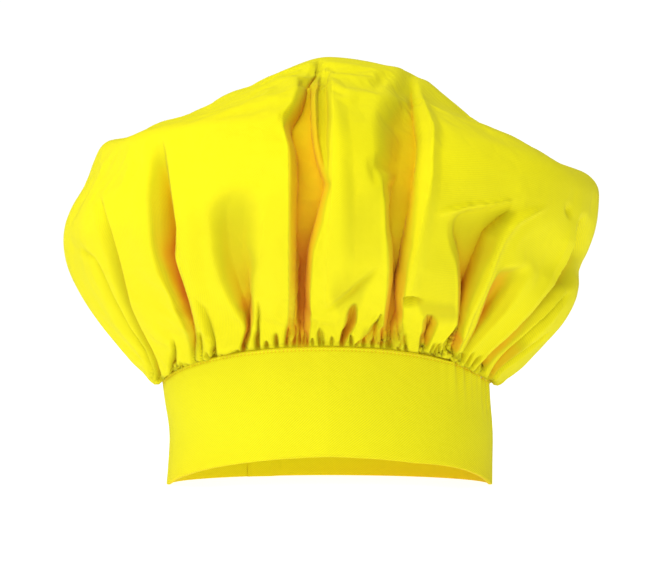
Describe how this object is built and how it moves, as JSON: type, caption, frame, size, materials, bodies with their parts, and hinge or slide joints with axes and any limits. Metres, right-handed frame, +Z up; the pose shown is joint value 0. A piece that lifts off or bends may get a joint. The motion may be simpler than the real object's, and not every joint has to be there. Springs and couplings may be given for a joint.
{
  "type": "chef toque",
  "caption": "Soft chef hat: gathered twill crown sewn into a folded, stiffened headband with a hook-and-loop tab at the back.",
  "frame": {"origin": "on the table the hat stands on, at the middle of the head opening", "axes": "+Z up, -Y towards the front of the hat, closure at +Y, +X across the head to the wearer's left"},
  "size_m": [0.3606, 0.3027, 0.2834],
  "materials": {
    "crown_twill": "fine diagonal twill, matte",
    "band_twill": "fine diagonal twill, pressed flat",
    "interfacing": "stiff non-woven",
    "hook_tape": "stiff nylon hooks",
    "loop_tape": "brushed nylon loops",
    "label_ribbon": "blank satin ribbon",
    "thread": "polyester sewing thread"
  },
  "bodies": {
    "hat": {"crown": "crown_twill", "headband": "band_twill", "band_interfacing": "interfacing", "loop_tape": "loop_tape", "band_topstitching": "thread", "crown_gathering_thread": "thread", "loop_tape_stitches": "thread"},
    "closure_tab": {"closure_tab_cover": "band_twill", "closure_tab_interfacing": "interfacing", "hook_tape": "hook_tape", "closure_tab_topstitching": "thread", "hook_tape_stitches": "thread"},
    "label": {"care_label": "label_ribbon", "care_label_stitches": "thread"}
  },
  "joints": [
    {"name": "tab_peel", "type": "hinge", "parent": "hat", "child": "closure_tab", "pos_m": [-0.04564, 0.07251, 0.0342], "axis": [0, 0, 1], "range_deg": [0, 100]},
    {"name": "label_flip", "type": "hinge", "parent": "hat", "child": "label", "pos_m": [-0.07933, 0.04769, 0.0622], "axis": [-0.747, -0.6649, 0], "range_deg": [0, 110]}
  ]
}
